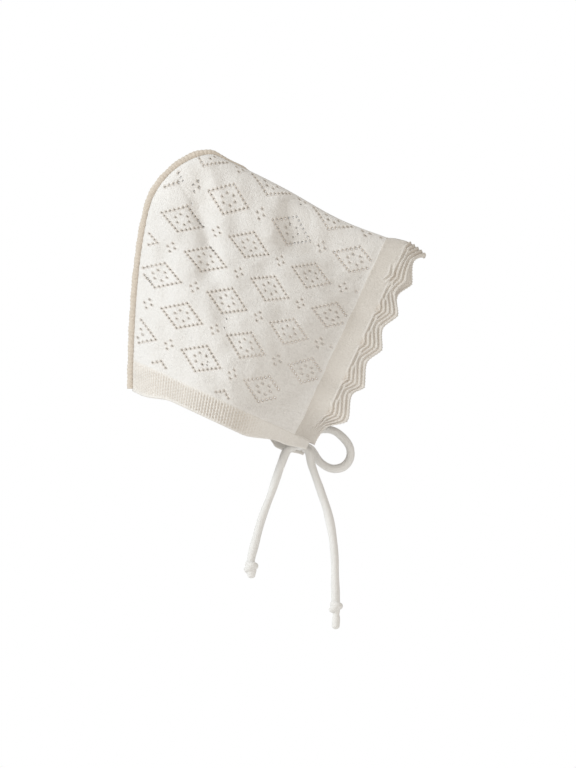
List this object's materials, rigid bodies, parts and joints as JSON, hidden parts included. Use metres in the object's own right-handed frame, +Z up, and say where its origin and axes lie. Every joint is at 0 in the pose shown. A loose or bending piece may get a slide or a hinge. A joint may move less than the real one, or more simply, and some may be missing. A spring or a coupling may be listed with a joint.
{
  "type": "baby bonnet",
  "caption": "Knitted baby bonnet with a lace hood folded over the crown, a scalloped face edge, a ribbed neckband, a rolled back seam and round cord ties in a half bow.",
  "frame": {"origin": "the head's seat, on the centre plane just under the crown ridge", "axes": "+X towards the face, +Y towards the wearer's left side, +Z up with the bonnet tipped forward as worn"},
  "size_m": [0.2029, 0.0874, 0.3255],
  "materials": {
    "lace_knit": "soft cream knitted lace",
    "brim_knit": "soft cream knit with raised ridges",
    "rib_knit": "soft cream fine rib",
    "seam_knit": "beige rolled knit edge",
    "cord_knit": "off-white knitted cord"
  },
  "bodies": {
    "root": {"hood": "lace_knit", "brim": "brim_knit", "neckband": "rib_knit", "back_seam": "seam_knit", "strap_near": "cord_knit", "strap_far": "cord_knit", "bow_knot": "cord_knit", "bow_loop": "cord_knit", "tail_left": "cord_knit", "tail_right": "cord_knit", "end_knot_left": "cord_knit", "end_knot_right": "cord_knit"}
  },
  "joints": []
}
